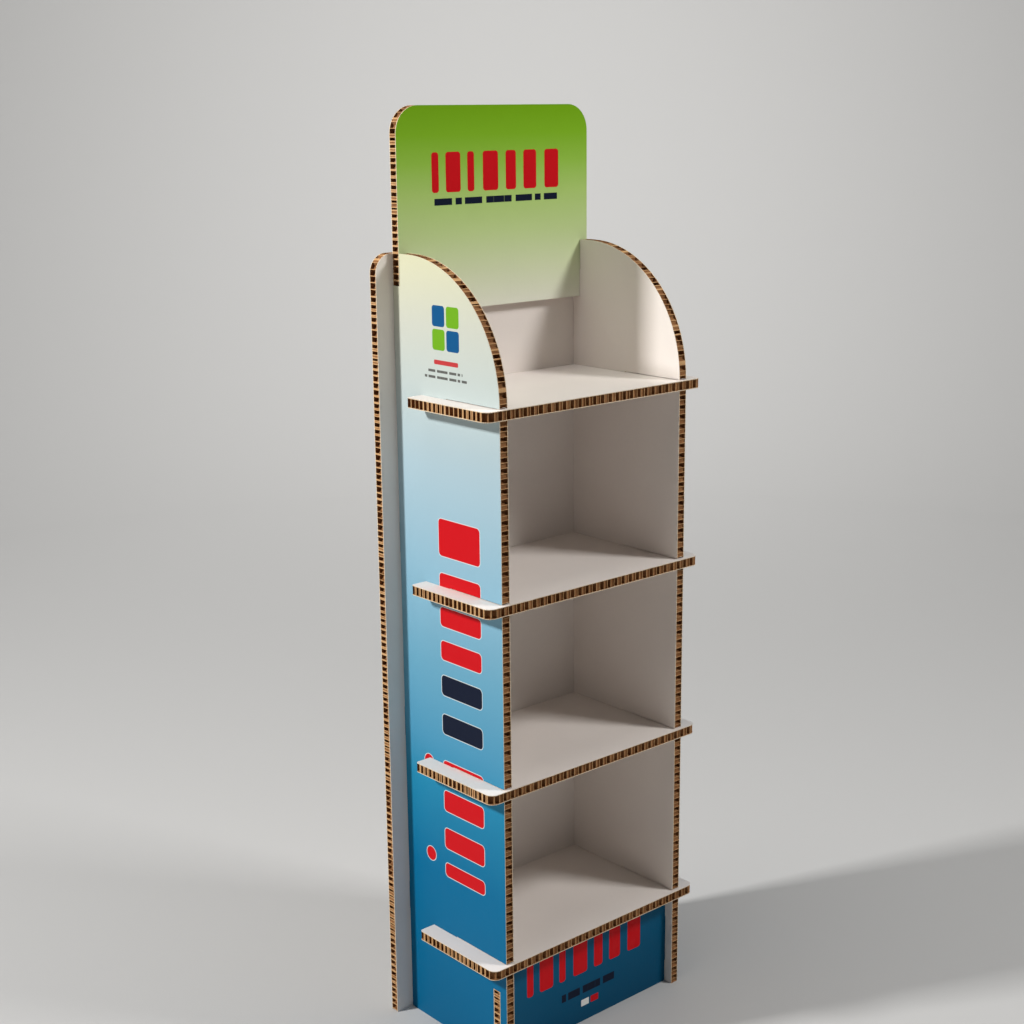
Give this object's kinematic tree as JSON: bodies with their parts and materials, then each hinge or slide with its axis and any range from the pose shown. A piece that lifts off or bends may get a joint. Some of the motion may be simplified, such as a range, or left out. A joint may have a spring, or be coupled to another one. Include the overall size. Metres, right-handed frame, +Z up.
{
  "type": "cardboard display stand",
  "caption": "Free-standing shop display stand slotted together from flat honeycomb boards: open shelves with side lips, round-topped sides, a header board and a plinth front.",
  "frame": {"origin": "on the floor, at the centre of the stand's footprint", "axes": "+Z up, +X to the right of someone facing the stand, +Y to the rear, so the open front faces -Y"},
  "size_m": [0.466, 0.272, 1.516],
  "materials": {
    "plain_board": "white matt paper facings on a kraft honeycomb core that is open at the cut edges",
    "printed_side_board": "satin printed paper facing outside, cream to deep blue, white matt facing inside, kraft honeycomb core open at the edges",
    "printed_header_board": "satin printed paper facing in front, green fading to grey-green, white matt facing behind, kraft honeycomb core open at the edges",
    "printed_kick_board": "satin printed blue paper facing in front, white matt facing behind, kraft honeycomb core open at the edges"
  },
  "bodies": {
    "root": {"back_panel": "plain_board", "left_side": "printed_side_board", "right_side": "printed_side_board", "header_panel": "printed_header_board", "kick_panel": "printed_kick_board", "shelf_1": "plain_board", "shelf_2": "plain_board", "shelf_3": "plain_board", "shelf_4": "plain_board"}
  },
  "joints": []
}
